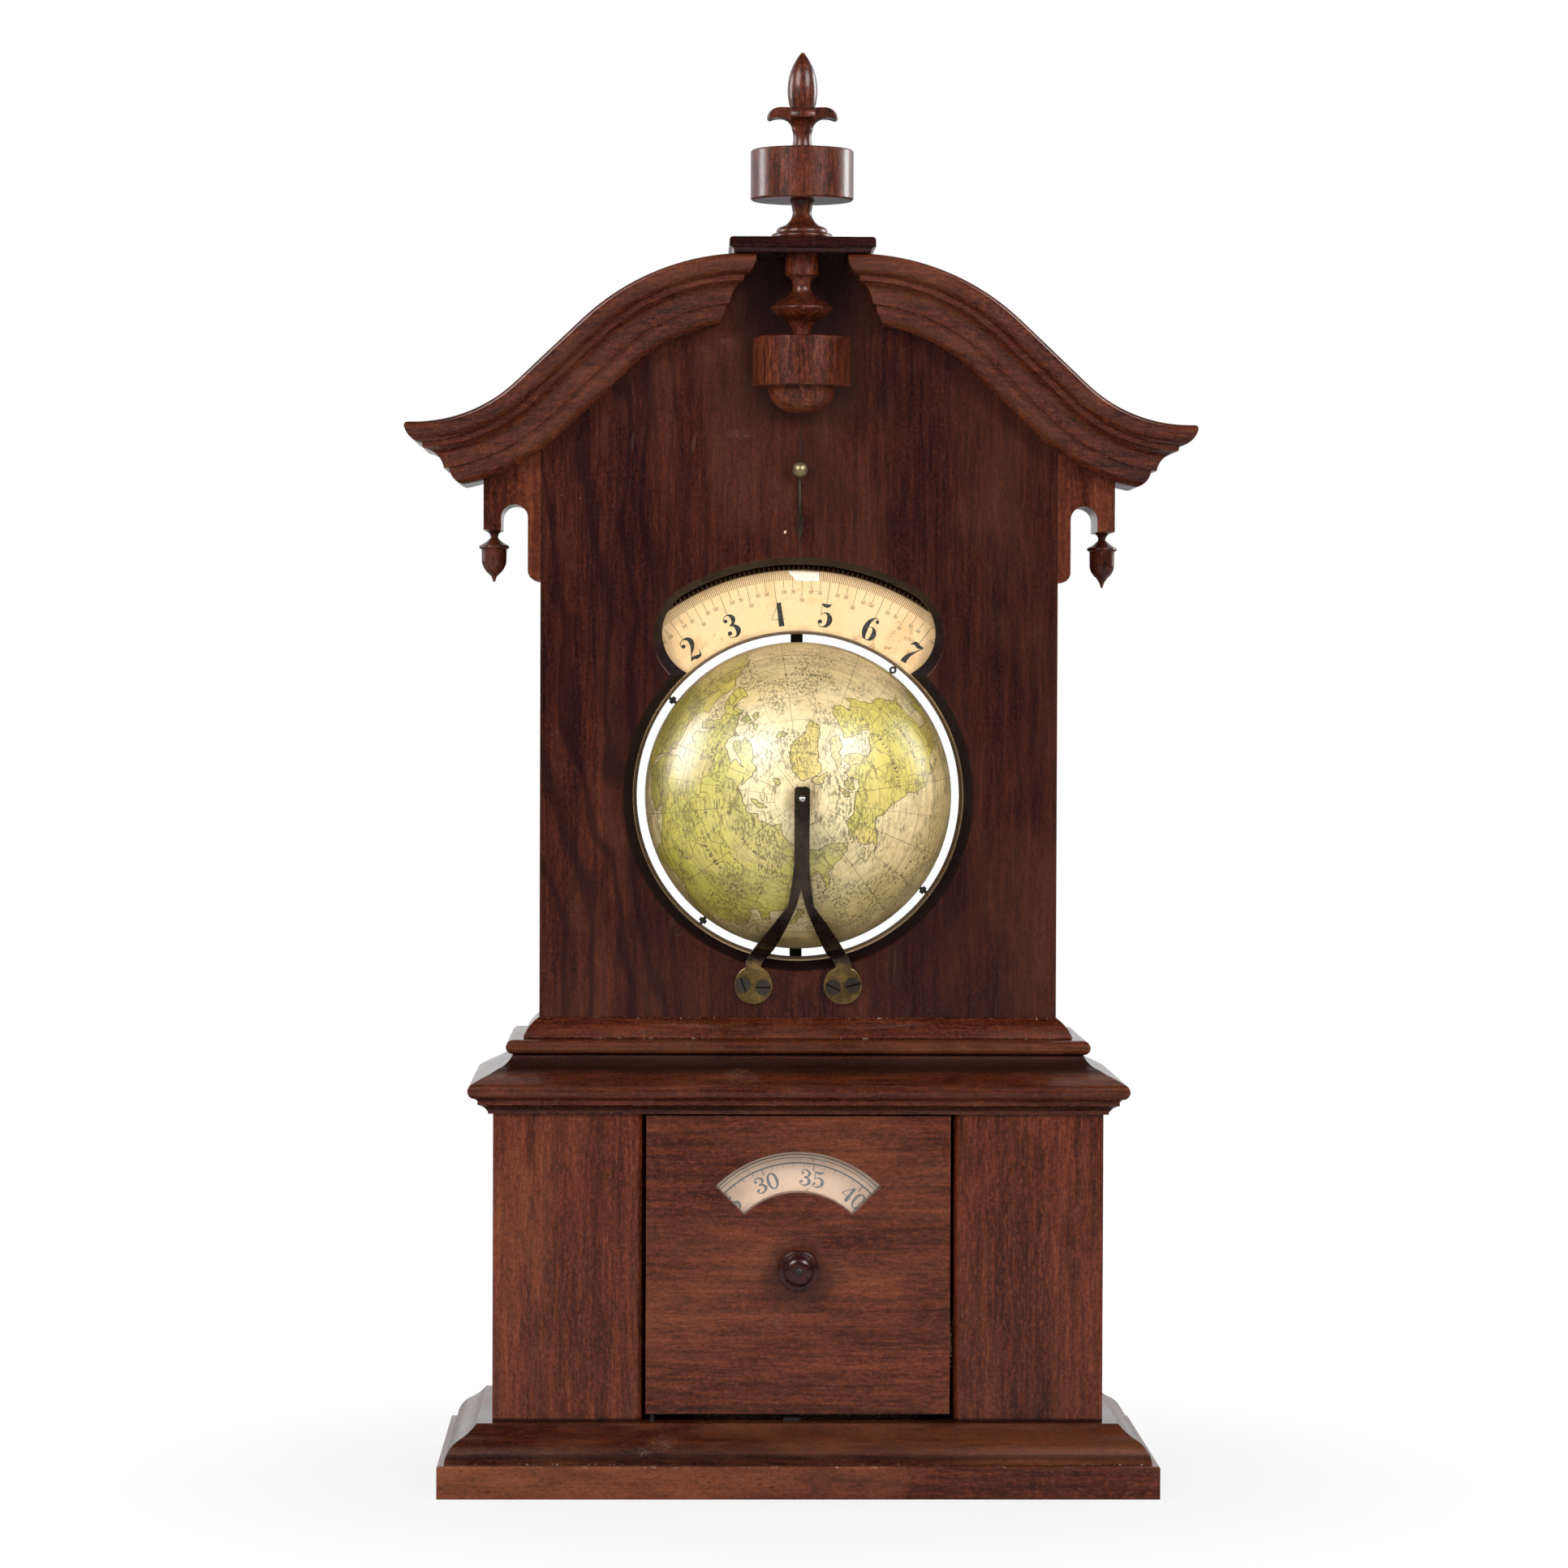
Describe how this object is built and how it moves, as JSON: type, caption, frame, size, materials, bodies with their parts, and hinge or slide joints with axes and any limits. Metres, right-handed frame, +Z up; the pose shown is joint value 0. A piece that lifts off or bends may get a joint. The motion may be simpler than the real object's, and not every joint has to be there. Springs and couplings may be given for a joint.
{
  "type": "globe clock",
  "caption": "Walnut mantel clock whose globe turns once a day inside a toothed hour ring, with a minute disc behind a window in the door.",
  "frame": {"origin": "on the underside of the plinth, below the middle of the upper case", "axes": "+Z up, -Y towards the viewer of the dial, +X to the viewer's right"},
  "size_m": [0.3874, 0.1987, 0.7053],
  "materials": {
    "walnut": "polished",
    "dark_walnut": "polished",
    "brass": "aged",
    "bronze": "aged",
    "iron": "dark",
    "steel": "satin",
    "glass": "clear",
    "globe_print": "varnished",
    "dial_paper": "aged"
  },
  "bodies": {
    "clock_case": {"plinth_slab": "walnut", "plinth_moulding": "walnut", "stile_left": "walnut", "stile_right": "walnut", "base_sides": "walnut", "base_back": "walnut", "waist_moulding": "walnut", "waist_plate": "walnut", "foot_moulding": "walnut", "front_board": "walnut", "case_sides": "walnut", "back_board": "walnut", "roof_board": "walnut", "cornice_left": "walnut", "cornice_right": "walnut", "ear_bracket_left": "walnut", "ear_bracket_right": "walnut", "acorn_drop_left": "walnut", "acorn_drop_right": "walnut", "cap_plate": "dark_walnut", "finial": "walnut", "pendant_drop": "walnut", "pointer_pin": "brass", "door_catch": "brass", "front_bridge": "bronze", "bridge_screws": "brass", "rear_bow": "iron", "brass_screws": "brass", "motion_bracket": "brass", "movement_plates": "brass", "plate_pillars": "brass", "escapement_case": "brass", "balance_cock": "brass"},
    "pointer": {"hour_pointer": "bronze"},
    "door": {"door_panel": "walnut", "door_glass": "glass", "door_knob": "dark_walnut", "knob_screw": "brass", "door_pivots": "steel"},
    "globe": {"globe_shell": "globe_print", "globe_arbor": "steel", "ring_pins": "brass", "dial_ring": "brass", "ring_gear": "brass", "hour_dial": "dial_paper"},
    "ring_drive": {"ring_pinion": "steel", "pinion_bevel": "brass"},
    "leading_rod": {"leading_off_rod": "steel", "rod_bevels": "brass"},
    "minute_train": {"minute_arbor": "steel", "minute_bevel": "brass", "minute_disc": "brass", "minute_dial": "dial_paper", "centre_wheel": "brass"},
    "second_arbor": {"intermediate_wheel": "brass"},
    "going_barrel": {"barrel": "brass"},
    "winding": {"winding_arbor": "steel"},
    "click": {"ratchet_click": "steel"},
    "third_arbor": {"third_pinion": "steel"},
    "balance": {"balance_wheel": "brass"}
  },
  "joints": [
    {"name": "globe_spin", "type": "hinge", "parent": "clock_case", "child": "globe", "pos_m": [0, -0.0115, 0.3414], "axis": [0, -1, 0], "continuous": true},
    {"name": "ring_drive_spin", "type": "hinge", "parent": "clock_case", "child": "ring_drive", "pos_m": [0, -0.0097, 0.22318], "axis": [0, -1, 0], "continuous": true},
    {"name": "leading_rod_spin", "type": "hinge", "parent": "clock_case", "child": "leading_rod", "pos_m": [0, -0.0001, 0.22318], "axis": [0, 0, 1], "continuous": true},
    {"name": "minute_spin", "type": "hinge", "parent": "clock_case", "child": "minute_train", "pos_m": [0, -0.0326, 0.1094], "axis": [0, -1, 0], "continuous": true},
    {"name": "second_arbor_spin", "type": "hinge", "parent": "clock_case", "child": "second_arbor", "pos_m": [0.02499, -0.0252, 0.08871], "axis": [0, -1, 0], "continuous": true},
    {"name": "going_barrel_spin", "type": "hinge", "parent": "clock_case", "child": "going_barrel", "pos_m": [0.04999, -0.0137, 0.06801], "axis": [0, -1, 0], "continuous": true},
    {"name": "third_arbor_spin", "type": "hinge", "parent": "clock_case", "child": "third_arbor", "pos_m": [-0.01861, -0.0198, 0.13598], "axis": [0, -1, 0], "continuous": true},
    {"name": "winding_turn", "type": "hinge", "parent": "clock_case", "child": "winding", "pos_m": [0.04999, -0.0347, 0.06801], "axis": [0, -1, 0], "range_deg": [0, 1080]},
    {"name": "click_lift", "type": "hinge", "parent": "clock_case", "child": "click", "pos_m": [0.03588, -0.0297, 0.07281], "axis": [0, -1, 0], "range_deg": [-14, 0]},
    {"name": "balance_swing", "type": "hinge", "parent": "clock_case", "child": "balance", "pos_m": [-0.022, -0.019, 0.1619], "axis": [0, 0, 1], "range_deg": [-135, 135]},
    {"name": "door_hinge", "type": "hinge", "parent": "clock_case", "child": "door", "pos_m": [-0.0716, -0.0443, 0.11], "axis": [0, 0, -1], "range_deg": [0, 100]},
    {"name": "pointer_swing", "type": "hinge", "parent": "clock_case", "child": "pointer", "pos_m": [0, -0.02545, 0.5024], "axis": [0, -1, 0], "range_deg": [-8, 8]}
  ],
  "couplings": [
    {"joint": "ring_drive_spin", "follows": "globe_spin", "ratio": -24},
    {"joint": "leading_rod_spin", "follows": "globe_spin", "ratio": -24},
    {"joint": "minute_spin", "follows": "globe_spin", "ratio": 24},
    {"joint": "second_arbor_spin", "follows": "globe_spin", "ratio": -3},
    {"joint": "going_barrel_spin", "follows": "globe_spin", "ratio": 0.375},
    {"joint": "third_arbor_spin", "follows": "globe_spin", "ratio": -192}
  ]
}
